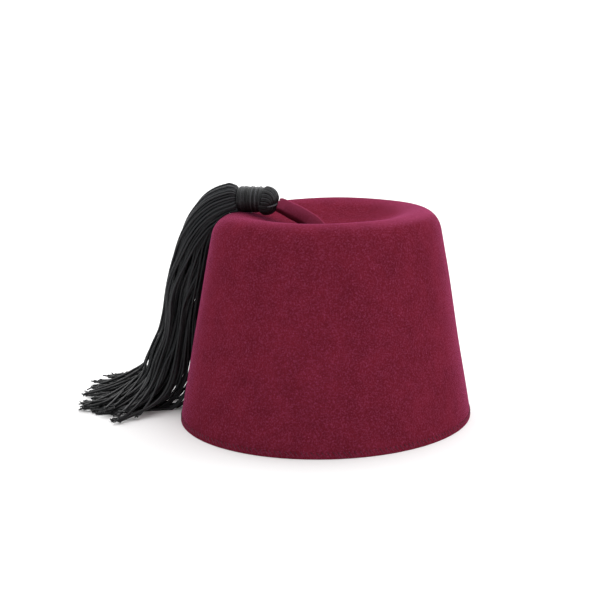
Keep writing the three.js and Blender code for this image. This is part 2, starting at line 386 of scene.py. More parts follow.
def through(rows, stations, where):
    """Reads a smooth curve through table rows, which stand at the stations, at other places along it"""
    slopes = np.gradient(rows, stations, axis=0)
    k = np.clip(np.searchsorted(stations, where) - 1, 0, len(stations) - 2)
    span = (stations[k + 1] - stations[k])[:, None]
    t = (where - stations[k])[:, None] / span
    rise = t * t * (3 - 2 * t)
    bend = t * (1 - t)
    return (rows[k] * (1 - rise) + rows[k + 1] * rise
            + span * bend * ((1 - t) * slopes[k] - t * slopes[k + 1]))


def evenly(route, step):
    """Points a step apart along a route, its two ends included"""
    along = np.concatenate(([0.0], np.cumsum(np.linalg.norm(np.diff(route, axis=0), axis=1))))
    places = np.linspace(0.0, along[-1], max(2, round(along[-1] / step) + 1))
    return np.stack([np.interp(places, along, column) for column in route.T], axis=1)


def crown_lean(crown):
    """Angle between the wall and upright, for a wall that runs tangent into the shoulder"""
    inwards = crown.hem_radius - crown.crest_radius
    upwards = crown.crest_height - crown.shoulder_radius
    return math.atan2(inwards, upwards) - math.asin(crown.shoulder_radius / math.hypot(inwards, upwards))


def crest_drop(crown, bearing, height, radius):
    """How far the felt lies below a crown with a level crest, from the bearing in degrees"""
    drop = 0.0
    for dent in CREST_DENTS:
        turn = (bearing - dent["bearing"] + 180) % 360 - 180
        drop = drop + dent["drop"] * np.exp(-(turn / dent["spread"]) ** 2)
    upwards = smooth_step(height, crown.crest_height - 2 * crown.shoulder_radius, crown.crest_height)
    return drop * upwards * smooth_step(radius, 0.0, crown.crest_radius)


def wall_point(crown, bearing, height, proud):
    """A point on the leaning wall, at a bearing in radians, that stands proud of the felt by some distance"""
    lean = crown_lean(crown)
    radius = crown.hem_radius - height * math.tan(lean) + proud * math.cos(lean)
    stretch = math.sqrt(crown.oval)
    return (radius * math.cos(bearing) / stretch, radius * math.sin(bearing) * stretch,
            height + proud * math.sin(lean))


def clear_of_felt(points, crown, gap):
    """Moves points that lie in the felt, or nearer to it than the gap, out along its surface's normal"""
    stretch = math.sqrt(crown.oval)
    lean = crown_lean(crown)
    x, y, z = points.T
    radius = np.hypot(x * stretch, y / stretch)
    bearing = np.degrees(np.arctan2(y / stretch, x * stretch))
    height = z + crest_drop(crown, bearing, z, radius)
    over = height - (crown.crest_height - crown.shoulder_radius)
    normal = np.arctan2(over, radius - crown.crest_radius)
    on_shoulder = normal > lean
    from_wall = (radius - crown.hem_radius) * math.cos(lean) + height * math.sin(lean)
    from_shoulder = np.hypot(radius - crown.crest_radius, over) - crown.shoulder_radius
    push = np.maximum(gap - np.where(on_shoulder, from_shoulder, from_wall), 0.0)
    normal = np.where(on_shoulder, normal, lean)
    grow = (radius + push * np.cos(normal)) / radius
    return np.stack((x * grow, y * grow, z + push * np.sin(normal)), axis=1)


# Meshes and their finish

def select_only(piece):
    bpy.ops.object.select_all(action="DESELECT")
    piece.select_set(True)
    bpy.context.view_layer.objects.active = piece


def apply_modifier(piece, kind, **settings):
    """Adds a modifier with its settings and applies it"""
    select_only(piece)
    modifier = piece.modifiers.new(kind.title(), kind)
    for key, value in settings.items():
        setattr(modifier, key, value)
    bpy.ops.object.modifier_apply(modifier=modifier.name)


def finish_piece(piece, slot, material, *nodes):
    """Gives a piece its material, lets it ride and stand for its nodes. The slot is not used."""
    piece.data.materials.clear()
    piece.data.materials.append(material)
    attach(piece, BODY)
    if nodes:
        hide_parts(*nodes)


def tube(route, radii, sides):
    """Points, faces and face-corner places (round, along) of a closed tube along a route"""
    run = unit(np.gradient(route, axis=0))
    axis = np.eye(3)[np.argmin(np.abs(run).max(axis=0))]
    first = unit(axis - run * (run @ axis)[:, None])
    second = np.cross(run, first)
    turn = np.arange(sides) * 2 * math.pi / sides
    rings = first[:, None] * np.cos(turn)[:, None] + second[:, None] * np.sin(turn)[:, None]
    points = route[:, None] + rings * np.broadcast_to(radii, len(route))[:, None, None]
    along = np.concatenate(([0.0], np.cumsum(np.linalg.norm(np.diff(route, axis=0), axis=1))))
    faces = [tuple(reversed(range(sides)))]
    places = [(0.0, 0.0)] * sides
    for k in range(len(route) - 1):
        for j in range(sides):
            after = (j + 1) % sides
            faces.append((k * sides + j, k * sides + after, (k + 1) * sides + after, (k + 1) * sides + j))
            places += [(j / sides, along[k]), ((j + 1) / sides, along[k]),
                       ((j + 1) / sides, along[k + 1]), (j / sides, along[k + 1])]
    last = (len(route) - 1) * sides
    faces.append(tuple(range(last, last + sides)))
    places += [(0.0, along[-1])] * sides
    return points.reshape(-1, 3), faces, places


def joined_tubes(name, tubes):
    """One mesh of many tubes, each given as route, radii, sides and shade"""
    points, faces, places, shades = [], [], [], []
    for route, radii, sides, shade in tubes:
        start = len(points)
        tube_points, tube_faces, tube_places = tube(route, radii, sides)
        points.extend(tube_points.tolist())
        faces.extend([tuple(start + k for k in face) for face in tube_faces])
        places.extend(tube_places)
        shades.extend(np.repeat(np.broadcast_to(shade, len(route)), sides).tolist())
    mesh = bpy.data.meshes.new(name)
    mesh.from_pydata(points, [], faces)
    mesh.uv_layers.new(name="thread").uv.foreach_set("vector", np.ravel(places))
    mesh.attributes.new("shade", "FLOAT", "POINT").data.foreach_set("value", shades)
    mesh.shade_smooth()
    piece = bpy.data.objects.new(name, mesh)
    bpy.context.collection.objects.link(piece)
    return piece


def join_core(piece, core, shade):
    """Joins the plain core, of one shade, that was just added to a piece made of tubes"""
    core.data.uv_layers[0].name = "thread"
    shades = core.data.attributes.new("shade", "FLOAT", "POINT")
    shades.data.foreach_set("value", [shade] * len(core.data.vertices))
    piece.select_set(True)
    bpy.context.view_layer.objects.active = piece
    bpy.ops.object.join()


def add_node(tree, kind, inputs, **settings):
    """Adds a node, with its settings, and links or sets its inputs"""
    made = tree.nodes.new(kind)
    for key, value in settings.items():
        setattr(made, key, value)
    for key, value in inputs.items():
        if isinstance(value, bpy.types.NodeSocket):
            tree.links.new(value, made.inputs[key])
        else:
            made.inputs[key].default_value = value
    return made


def new_material(name, **sockets):
    """A material with its constant values on the shader's own sockets, named with _ for spaces"""
    material = bpy.data.materials.new(name)
    material.use_nodes = True
    shader = material.node_tree.nodes["Principled BSDF"]
    for key, value in sockets.items():
        shader.inputs[key.replace("_", " ")].default_value = value
    return material, material.node_tree, shader


def brushed_felt(colours, shaded=0.0):
    """Brushed wool felt, darkened by painted shade where a piece's own attribute marks it"""
    # Matt and soft: pale fibre ends that fleck a deeper ground, faint patches from the blocking, a painted
    # highlight along the crest, a few loose fibres, and a pink bloom where the nap is seen edge on. Single
    # fibres, some 0.03 mm thick, are too fine to show, so flecks and fibres are drawn as tufts of 0.7 to 0.95
    # mm.
    material, tree, shader = new_material(
        "brushed wool felt", Roughness=0.95, Sheen_Weight=0.5, Sheen_Roughness=0.19,
        Sheen_Tint=(*linear("#ff80c0"), 1.0))
    shader.inputs["Specular IOR Level"].default_value = 0.0
    crest = bpy.context.scene.fez_crown.crest_height
    pale = (*bpy.context.scene.fez_crown.lint, 1.0)
    place = add_node(tree, "ShaderNodeTexCoord", {}).outputs["Object"]
    patches = add_node(tree, "ShaderNodeTexNoise", {
        "Vector": place, "Scale": 1 / (14 * MM), "Detail": 3.0, "Roughness": 0.65})
    patch_shade = add_node(tree, "ShaderNodeMapRange", {
        "Value": patches.outputs["Fac"], "From Min": 0.3, "From Max": 0.7, "To Min": 0.87, "To Max": 1.13})
    ground = add_node(tree, "ShaderNodeMix", {
        0: 1.0, 6: (*colours.felt, 1.0), 7: patch_shade.outputs[0]}, data_type="RGBA", blend_type="MULTIPLY")
    nap = add_node(tree, "ShaderNodeTexNoise", {
        "Vector": place, "Scale": 1 / (0.95 * MM), "Detail": 3.0, "Roughness": 0.7, "Distortion": 0.4})
    flecks = add_node(tree, "ShaderNodeMapRange", {
        "Value": nap.outputs["Fac"], "From Min": 0.42, "From Max": 0.75, "To Min": 0.0, "To Max": 0.3},
        interpolation_type="SMOOTHSTEP")
    height = add_node(tree, "ShaderNodeSeparateXYZ", {0: place})
    # Painted highlight along the crest, in the pale fibre colour, stronger towards +X where the right wall's
    # light falls
    crest_highlight_side = add_node(tree, "ShaderNodeMapRange", {
        "Value": height.outputs[0], "From Min": 15 * MM, "From Max": 60 * MM, "To Min": 0.11, "To Max": 0.26},
        interpolation_type="SMOOTHSTEP")
    painted_crest_highlight = add_node(tree, "ShaderNodeMapRange", {
        "Value": height.outputs[2], "From Min": crest - 4 * MM, "From Max": crest, "To Min": 0.0,
        "To Max": crest_highlight_side.outputs[0]}, interpolation_type="SMOOTHSTEP")
    fibres = add_node(tree, "ShaderNodeTexVoronoi", {"Vector": place, "Scale": 1 / (9 * MM)})
    lint = add_node(tree, "ShaderNodeMapRange", {
        "Value": fibres.outputs["Distance"], "From Min": 0.022, "From Max": 0.05,
        "To Min": 0.5, "To Max": 0.0})
    share_pale = flecks.outputs[0]
    for more in (painted_crest_highlight, lint):
        share_pale = add_node(tree, "ShaderNodeMath", {0: share_pale, 1: more.outputs[0]},
                              operation="ADD", use_clamp=True).outputs[0]
    dye = add_node(tree, "ShaderNodeMix", {0: share_pale, 6: ground.outputs[2], 7: pale},
                   data_type="RGBA").outputs[2]
    # Painted shade: darker where the piece's own attribute marks it, as on the stem's belly
    if shaded:
        where = add_node(tree, "ShaderNodeAttribute", {}, attribute_name="shaded", attribute_type="GEOMETRY")
        shade = add_node(tree, "ShaderNodeMath", {0: where.outputs["Fac"], 1: -shaded, 2: 1.0},
                         operation="MULTIPLY_ADD")
        dye = add_node(tree, "ShaderNodeMix", {0: 1.0, 6: dye, 7: shade.outputs[0]},
                       data_type="RGBA", blend_type="MULTIPLY").outputs[2]
    tree.links.new(dye, shader.inputs["Base Color"])
    fibre = add_node(tree, "ShaderNodeTexNoise", {
        "Vector": place, "Scale": 1 / (0.7 * MM), "Detail": 4.0, "Roughness": 0.7, "Distortion": 1.2})
    bump = add_node(tree, "ShaderNodeBump", {
        "Height": fibre.outputs["Fac"], "Strength": 0.35, "Distance": 0.5 * MM})
    tree.links.new(bump.outputs["Normal"], shader.inputs["Normal"])
    return material


def twisted_thread(name, thread_colour, pitch, plies, gloss, roughness):
    """Twisted thread or cord, from the twist's pitch and number of plies"""
    # Soft highlights along each strand, broken by the twist, and strands that differ a little in shade.
    material, tree, shader = new_material(name, Roughness=roughness)
    shader.inputs["Specular IOR Level"].default_value = gloss
    place = add_node(tree, "ShaderNodeUVMap", {}, uv_map="thread")
    split = add_node(tree, "ShaderNodeSeparateXYZ", {0: place.outputs[0]})
    around = add_node(tree, "ShaderNodeMath", {0: split.outputs[0], 1: float(plies)}, operation="MULTIPLY")
    lay = add_node(tree, "ShaderNodeMath", {0: split.outputs[1], 1: 1 / pitch, 2: around.outputs[0]},
                   operation="MULTIPLY_ADD")
    phase = add_node(tree, "ShaderNodeMath", {0: lay.outputs[0], 1: 2 * math.pi}, operation="MULTIPLY")
    ply = add_node(tree, "ShaderNodeMath", {0: phase.outputs[0]}, operation="SINE")
    bump = add_node(tree, "ShaderNodeBump", {
        "Height": ply.outputs[0], "Strength": 0.35, "Distance": 0.06 * MM})
    tree.links.new(bump.outputs["Normal"], shader.inputs["Normal"])
    strand = add_node(tree, "ShaderNodeAttribute", {}, attribute_name="shade", attribute_type="GEOMETRY")
    dyed = add_node(tree, "ShaderNodeMix", {
        0: 1.0, 6: (*thread_colour, 1.0), 7: strand.outputs["Fac"]}, data_type="RGBA", blend_type="MULTIPLY")
    tree.links.new(dyed.outputs[2], shader.inputs["Base Color"])
    return material


def tassel_cord():
    """The cord that the tassel and its head are made of"""
    return twisted_thread("twisted rayon cord", bpy.context.scene.fez_tassel.cord, pitch=3.2 * MM, plies=2,
                          gloss=0.26, roughness=0.52)


# Pieces

def crown_rings(crown):
    """Radius and height of each ring of the round crown, from the hem to the middle of the dish"""
    lean = crown_lean(crown)
    shoulder_height = crown.crest_height - crown.shoulder_radius
    wall_top = shoulder_height + crown.shoulder_radius * math.sin(lean)
    groove = bpy.context.scene.fez_stitches.row_height
    heights = [*HEM_RINGS, *(groove + offset for offset in GROOVE_RINGS), PLAIN_RING]
    heights += np.linspace(WALL_START, wall_top, 13).tolist()
    rings = []
    for height in heights:
        sunk = GROOVE_DEPTH if height == groove else 0.0
        rings.append((crown.hem_radius - height * math.tan(lean) - sunk, height))
    for turn in np.linspace(lean, math.pi / 2, 8)[1:]:
        rings.append((crown.crest_radius + crown.shoulder_radius * math.cos(turn),
                      shoulder_height + crown.shoulder_radius * math.sin(turn)))
    floor = crown.crest_height - crown.dish_depth
    for t in np.linspace(0, 1, 14)[1:-1]:
        s = 1 - t
        crest_pull, rim_pull, floor_pull, middle_pull = s ** 3, 3 * s * s * t, 3 * s * t * t, t ** 3
        radius = crest_pull + rim_pull * crown.dish_rim + floor_pull * crown.dish_floor
        height = crown.crest_height * (crest_pull + rim_pull) + floor * (floor_pull + middle_pull)
        rings.append((crown.crest_radius * radius, height))
    return rings


class FEZ_OT_crown(bpy.types.Operator):
    """Raise the felt crown ring by ring, dish the top, press it to its oval and give it a wall"""
    bl_idname = "fez.crown"
    bl_label = "Crown"

    def execute(self, context):
        crown = context.scene.fez_crown
        rings = crown_rings(crown)
        bpy.ops.object.select_all(action="DESELECT")
        bpy.ops.mesh.primitive_circle_add(vertices=CROWN_SIDES, radius=rings[0][0], fill_type="NOTHING")
        piece = context.active_object
        piece.name = "fez_crown"
        bpy.ops.object.mode_set(mode="EDIT")
        bpy.ops.mesh.select_all(action="SELECT")
        for (radius, height), (next_radius, next_height) in zip(rings, rings[1:]):
            bpy.ops.mesh.extrude_region_move(
                TRANSFORM_OT_translate={"value": (0.0, 0.0, next_height - height)})
            grow = next_radius / radius
            bpy.ops.transform.resize(value=(grow, grow, 1.0), center_override=(0.0, 0.0, next_height))
        floor = crown.crest_height - crown.dish_depth
        bpy.ops.mesh.extrude_region_move(TRANSFORM_OT_translate={"value": (0.0, 0.0, floor - rings[-1][1])})
        bpy.ops.mesh.merge(type="CENTER")
        bpy.ops.mesh.select_all(action="SELECT")
        stretch = math.sqrt(crown.oval)
        bpy.ops.transform.resize(value=(1 / stretch, stretch, 1.0), center_override=(0.0, 0.0, 0.0))
        bpy.ops.mesh.normals_make_consistent(inside=False)
        bpy.ops.object.mode_set(mode="OBJECT")
        for vertex in piece.data.vertices:
            self.settle(crown, vertex)
        apply_modifier(piece, "SOLIDIFY", thickness=crown.wall, offset=-1.0, use_even_offset=True)
        for vertex in piece.data.vertices:
            vertex.co.z = max(vertex.co.z, 0.0)
        apply_modifier(piece, "BEVEL", width=HEM_ROUNDING, segments=2, limit_method="ANGLE",
                       angle_limit=math.radians(60))
        apply_modifier(piece, "SUBSURF", levels=1, render_levels=1)
        bpy.ops.object.shade_smooth()
        finish_piece(piece, "felt", brushed_felt(crown), "crown")
        return {"FINISHED"}

    def settle(self, crown, vertex):
        """Lowers the crest where it is dented and lets the wall stray a little, except at the hem"""
        x, y, z = vertex.co
        bearing = math.degrees(math.atan2(y, x))
        vertex.co.z -= crest_drop(crown, bearing, z, math.hypot(x, y))
        stray = crown.unevenness * noise.noise(vertex.co / UNEVEN_SPAN) * smooth_step(z, 0.0, UNEVEN_FROM)
        vertex.co += vertex.normal * float(stray)


class FEZ_OT_stitches(bpy.types.Operator):
    """Sew the row of slanted stitches over the hem edge, outside and inside"""
    bl_idname = "fez.stitches"
    bl_label = "Hem stitches"

    def execute(self, context):
        crown = context.scene.fez_crown
        stitches = context.scene.fez_stitches
        draw = np.random.default_rng(STITCH_SEED)
        spacing = 2 * math.pi / stitches.number
        tubes = []
        for k in range(stitches.number):
            bearing = (k + draw.uniform(-0.12, 0.12)) * spacing
            lean = spacing * stitches.slant * draw.uniform(0.8, 1.2)
            foot = stitches.foot_height * draw.uniform(0.7, 1.4)
            for side, depth in ((1, 0.0), (-1, -crown.wall)):
                route = []
                for t in np.linspace(0, 1, len(STITCH_SHADE)):
                    height = stitches.row_height + (foot - stitches.row_height) * t
                    arch = math.sin(math.pi * min(1.0, 0.08 + 0.92 * t))
                    rise = (STITCH_RISE * arch - STITCH_SUNK) * side
                    route.append(wall_point(crown, bearing + lean * t, height, depth + rise))
                # The thread is drawn darker at the needle hole: painted shade of the hole
                tubes.append((np.array(route), stitches.radius * STITCH_THICKNESS, THREAD_SIDES,
                              draw.uniform(0.8, 1.2) * STITCH_SHADE))
        thread = twisted_thread("spun cotton thread", stitches.thread, pitch=0.8 * MM, plies=2,
                                gloss=0.25, roughness=0.7)
        finish_piece(joined_tubes("hem_stitches", tubes), "felt", thread)
        return {"FINISHED"}


class FEZ_OT_stem(bpy.types.Operator):
    """Draw out the folded felt stem, bend it along its route and cut it level where it meets the dish"""
    bl_idname = "fez.stem"
    bl_label = "Stem"

    def execute(self, context):
        stem = context.scene.fez_stem
        route = np.array([(-row["out"], 0.0, row["height"]) for row in STEM_ROUTE])
        bpy.ops.object.select_all(action="DESELECT")
        bpy.ops.mesh.primitive_plane_add(size=1.0, rotation=(0.0, math.pi / 2, 0.0))
        piece = context.active_object
        piece.name = "fez_stem"
        self.fold(stem, piece)
        self.draw_out(stem, piece, route)
        self.bend(context, piece, route)
        self.cut(context.scene.fez_crown, stem, route)
        apply_modifier(piece, "BEVEL", width=STEM_ROUNDING, segments=2, limit_method="ANGLE",
                       angle_limit=math.radians(50))
        bpy.ops.object.shade_smooth()
        finish_piece(piece, "felt", brushed_felt(stem, stem.shaded), "stem")
        return {"FINISHED"}

    def fold(self, stem, piece):
        """Gives the section its slope, its bulging front and its rounded corners, and stays in edit mode"""
        bpy.ops.transform.resize(value=(1.0, stem.width, stem.height))
        bpy.ops.object.transform_apply(rotation=True, scale=True)
        bpy.ops.object.mode_set(mode="EDIT")
        bpy.ops.mesh.subdivide()
        bpy.ops.object.mode_set(mode="OBJECT")
        # The bend towards -X turns the section's +Y to the front.
        for vertex in piece.data.vertices:
            forward = 2 * vertex.co.y / stem.width
            level = 2 * vertex.co.z / stem.height
            if level > 0.5:
                vertex.co.z -= stem.fall * (1 - forward) / 2
            if forward > 0.5:
                vertex.co.y += stem.bulge * (1 - 2 * abs(level))
                vertex.co.z -= stem.bulge * (1 - abs(level))
        for upper, rounding in ((True, stem.fold), (False, stem.belly)):
            bpy.ops.object.mode_set(mode="EDIT")
            bpy.ops.mesh.select_all(action="DESELECT")
            bpy.ops.object.mode_set(mode="OBJECT")
            for vertex in piece.data.vertices:
                corner = abs(vertex.co.y) > 0.3 * stem.width and abs(vertex.co.z) > 0.25 * stem.height
                vertex.select = corner and (vertex.co.z > 0) == upper
            bpy.ops.object.mode_set(mode="EDIT")
            bpy.ops.mesh.bevel(offset=rounding, segments=5, affect="VERTICES")

    def draw_out(self, stem, piece, route):
        """Draws the section out straight over its route's length, wears its end and marks the belly for
        painted shade
        """
        reach = float(np.linalg.norm(np.diff(route, axis=0), axis=1).sum())
        bpy.ops.mesh.select_all(action="SELECT")
        for _ in range(STEM_STEPS):
            bpy.ops.mesh.extrude_region_move(
                TRANSFORM_OT_translate={"value": (reach / STEM_STEPS, 0.0, 0.0)})
        bpy.ops.mesh.select_all(action="SELECT")
        bpy.ops.mesh.normals_make_consistent(inside=False)
        bpy.ops.object.mode_set(mode="OBJECT")
        end = reach - (STEM_ROUTE[-1]["out"] - stem.end)
        # The belly is marked for painted shade, from a little below the middle of the section downwards
        shaded = piece.data.attributes.new("shaded", "FLOAT", "POINT")
        for vertex in piece.data.vertices:
            below = -2 * vertex.co.z / stem.height
            shaded.data[vertex.index].value = float(smooth_step(below, *STEM_PAINTED_SHADE))
            if vertex.co.z < 0:
                vertex.co.z *= 1 - stem.taper * float(smooth_step(vertex.co.x, end - STEM_TAPER_RUN, end))
            else:
                worn = smooth_step(vertex.co.x, end - STEM_WORN_RUN[0], end + STEM_WORN_RUN[1])
                vertex.co.z -= stem.worn * float(worn) ** 2

    def bend(self, context, piece, route):
        """Bends the straight stem along its route"""
        line = bpy.data.curves.new("stem_route", "CURVE")
        line.dimensions = "3D"
        spline = line.splines.new("BEZIER")
        spline.bezier_points.add(len(route) - 1)
        for point, place in zip(spline.bezier_points, route):
            point.co = place
            point.handle_left_type = point.handle_right_type = "AUTO"
        guide = bpy.data.objects.new("stem_route", line)
        context.collection.objects.link(guide)
        context.view_layer.update()
        apply_modifier(piece, "CURVE", object=guide, deform_axis="POS_X")
        bpy.data.objects.remove(guide)
        bpy.data.curves.remove(line)
        select_only(piece)

    def cut(self, crown, stem, route):
        """Cuts the stem level where it meets the dish, and slanted at the tassel's head"""
        bpy.ops.object.mode_set(mode="EDIT")
        bpy.ops.mesh.select_all(action="SELECT")
        dish = crown.crest_height - crown.dish_depth
        bpy.ops.mesh.bisect(plane_co=(0.0, 0.0, dish - STEM_SUNK), plane_no=(0.0, 0.0, 1.0),
                            clear_inner=True, use_fill=True)
        bpy.ops.mesh.select_all(action="SELECT")
        end_height = np.interp(stem.end, -route[:, 0], route[:, 2])
        bpy.ops.mesh.bisect(plane_co=(-stem.end, 0.0, end_height),
                            plane_no=(math.cos(stem.slant), 0.0, -math.sin(stem.slant)),
                            clear_inner=True, use_fill=True)
        bpy.ops.object.mode_set(mode="OBJECT")


class FEZ_OT_tassel_head(bpy.types.Operator):
    """Lay the folded cords over the tassel's head, drawn together on each side by a tie"""
    bl_idname = "fez.tassel_head"
    bl_label = "Tassel head"

    def execute(self, context):
        tassel = context.scene.fez_tassel
        middle = np.array((-tassel.head_out, 0.0, tassel.head_height))
        sizes = np.array((tassel.head_half_length, tassel.head_radius, tassel.head_radius))
        sizes = sizes - tassel.cord_radius
        draw = np.random.default_rng(HEAD_SEED)
        tubes = []
        t = np.linspace(0, 1, 30)[:, None]
        for k in range(tassel.head_cords):
            turn = ((k + 0.5) / tassel.head_cords * 2 - 1) * math.pi
            side = math.copysign(1.0, turn)
            if abs(turn) < TIE_TURN:
                laid = ABOVE_TIE
                from_tie = 1 - abs(turn) / TIE_TURN
            else:
                laid = BELOW_TIE
                from_tie = (abs(turn) - TIE_TURN) / (math.pi - TIE_TURN)
            # From behind the head's middle, over towards the stem and in to the tie
            start = np.array((laid["behind"], 0.97 * math.sin(turn), 0.97 * math.cos(turn)))
            over = np.array((0.35 + from_tie, start[1], start[2] + 0.1))
            path = unit((1 - t) ** 2 * start + 2 * t * (1 - t) * over + t * t * self.tie(side, from_tie))
            emerge = laid["sunk"] * (1 - smooth_step(t, 0.0, 0.16))
            sink = 1 - emerge - 0.1 * smooth_step(t, 0.8, 1.0) + draw.uniform(-0.04, 0.015)
            radii = tassel.cord_radius * (0.86 - 0.4 * smooth_step(t[:, 0], 0.45, 1.0))
            # Every other cord is drawn lighter: painted light and shade for the ribs and the grooves between
            # them
            tubes.append((middle + path * sizes * sink, radii, CORD_SIDES,
                          draw.uniform(0.35, 0.7) + 1.2 * (k % 2)))
        for side in (-1.0, 1.0):
            route = np.array([self.tie(side, q) for q in np.linspace(-0.1, 1.15, 14)])
            tubes.append((middle + route * (sizes + TIE_PROUD), TIE_RADIUS, CORD_SIDES, TIE_SHADE))
        cords = joined_tubes("tassel_head", tubes)
        bpy.ops.object.select_all(action="DESELECT")
        bpy.ops.mesh.primitive_uv_sphere_add(segments=32, ring_count=20, radius=1.0, location=middle)
        core = context.active_object
        bpy.ops.transform.resize(value=sizes - HEAD_CORE_DEPTH, center_override=middle)
        bpy.ops.object.transform_apply(location=True, rotation=True, scale=True)
        bpy.ops.object.shade_smooth()
        # The nearly black core is painted shade showing between the head's cords
        join_core(cords, core, HEAD_CORE_SHADE)
        finish_piece(cords, "cord", tassel_cord(), "tassel")
        return {"FINISHED"}

    def tie(self, side, along):
        """A place on a head of radius 1 along the tie, from its middle on one side towards the stem"""
        near = np.array(TIE_NEAR) * (1.0, side, 1.0)
        far = np.array(TIE_FAR) * (1.0, side, 1.0)
        return unit(near + (far - near) * along)


class FEZ_OT_binding(bpy.types.Operator):
    """Wind the thread round the tassel's neck, with a few turns crossing over"""
    bl_idname = "fez.binding"
    bl_label = "Tassel binding"

    def execute(self, context):
        binding = context.scene.fez_binding
        draw = np.random.default_rng(BINDING_SEED)
        span = binding.end - binding.start
        pitch = 2 * binding.thread_radius
        turns = int(span / pitch) - 1
        t = np.linspace(0, turns, turns * 36)
        strand = np.exp(draw.normal(0, WINDING_SHADES, turns + 1))[np.floor(t).astype(int)]
        uneven = np.interp(t, np.arange(turns + 1), draw.normal(0, WINDING_UNEVEN, turns + 1))
        tubes = [(self.wound(binding, t, binding.start + pitch * (t + 0.5), uneven, draw),
                  binding.thread_radius, THREAD_SIDES, strand)]
        for row in CROSSINGS:
            t = np.linspace(0, row["turns"], int(40 * row["turns"]))
            out = binding.start + span * (row["first"] + row["reach"] * t / row["turns"])
            lift = np.sin(math.pi * t / row["turns"]) * binding.thread_radius * CROSSING_LIFT
            tubes.append((self.wound(binding, t + draw.uniform(0, 1), out, lift, draw),
                          binding.thread_radius * 0.9, THREAD_SIDES, 1.25))
        piece = joined_tubes("neck_binding", tubes)
        bpy.ops.object.select_all(action="DESELECT")
        middle = (-(binding.start + binding.end) / 2, 0.0, binding.height)
        bpy.ops.mesh.primitive_cylinder_add(
            vertices=36, radius=binding.radius - 1.5 * binding.thread_radius, depth=span,
            location=middle, rotation=(0.0, math.pi / 2, 0.0))
        core = context.active_object
        bpy.ops.object.transform_apply(location=True, rotation=True, scale=True)
        bpy.ops.object.shade_smooth_by_angle(angle=math.radians(40))
        join_core(piece, core, NECK_CORE_SHADE)
        thread = twisted_thread("wound rayon thread", binding.thread, pitch=1.2 * MM, plies=2,
                                gloss=0.4, roughness=0.42)
        finish_piece(piece, "thread", thread, "tassel_binding")
        return {"FINISHED"}

    def wound(self, binding, turns, out, lift, draw):
        """A route round the neck, uneven as hand winding is"""
        turn = turns * 2 * math.pi
        phase = draw.uniform(0, 2 * math.pi, 2)
        out = out + WANDER_SLOWLY * np.sin(turns * 0.71 + phase[0]) + WANDER_EACH * np.cos(turn + phase[1])
        along = (out - binding.start) / (binding.end - binding.start)
        radius = binding.radius - binding.thread_radius + binding.swell * np.sin(math.pi * along)
        radius = radius + lift
        return np.stack((-out, radius * np.sin(turn), binding.height + radius * np.cos(turn)), axis=1)


def bundle_run():
    """The bundle read closely along its length: its middle line, its two directions and its half sizes"""
    rows = np.array([[row[key] for key in ("out", "height", "deep", "wide", "turn")] for row in BUNDLE])
    stations = np.concatenate(([0.0], np.cumsum(np.hypot(*np.diff(rows[:, :2], axis=0).T))))
    along = np.linspace(0.0, stations[-1], RUN_SAMPLES)
    out, height, deep, wide, turn = through(rows, stations, along).T
    level = np.zeros_like(out)
    middle = np.stack((-out, level, height), axis=1)
    run = unit(np.gradient(middle, axis=0))
    away = np.stack((run[:, 2], level, -run[:, 0]), axis=1)
    turn = np.radians(turn)
    across = np.stack((-np.sin(turn), np.cos(turn), level), axis=1)
    return {"along": along, "middle": middle, "away": away, "across": across, "deep": deep, "wide": wide}


def spread(number):
    """Places spread evenly over a round section of radius 1"""
    k = np.arange(number)
    radius = ((k + 0.5) / number) ** 0.47
    return np.stack((radius * np.cos(k * GOLDEN_TURN), radius * np.sin(k * GOLDEN_TURN)), axis=1)


def smoothed(points, window):
    """Averages a route over a window of points, its ends held"""
    reach = window // 2
    before = np.repeat(points[:1], reach, axis=0)
    after = np.repeat(points[-1:], reach, axis=0)
    padded = np.concatenate((before, points, after))
    weights = np.full(window, 1 / window)
    return np.stack([np.convolve(column, weights, "valid") for column in padded.T], axis=1)


def waver(draw, along, waves):
    """A wavering offset along a cord: the sum of waves given as height and length"""
    offset = np.zeros_like(along)
    for height, wave in waves:
        offset += height * draw.normal() * np.sin(2 * math.pi * along / wave + draw.uniform(0, 2 * math.pi))
    return offset


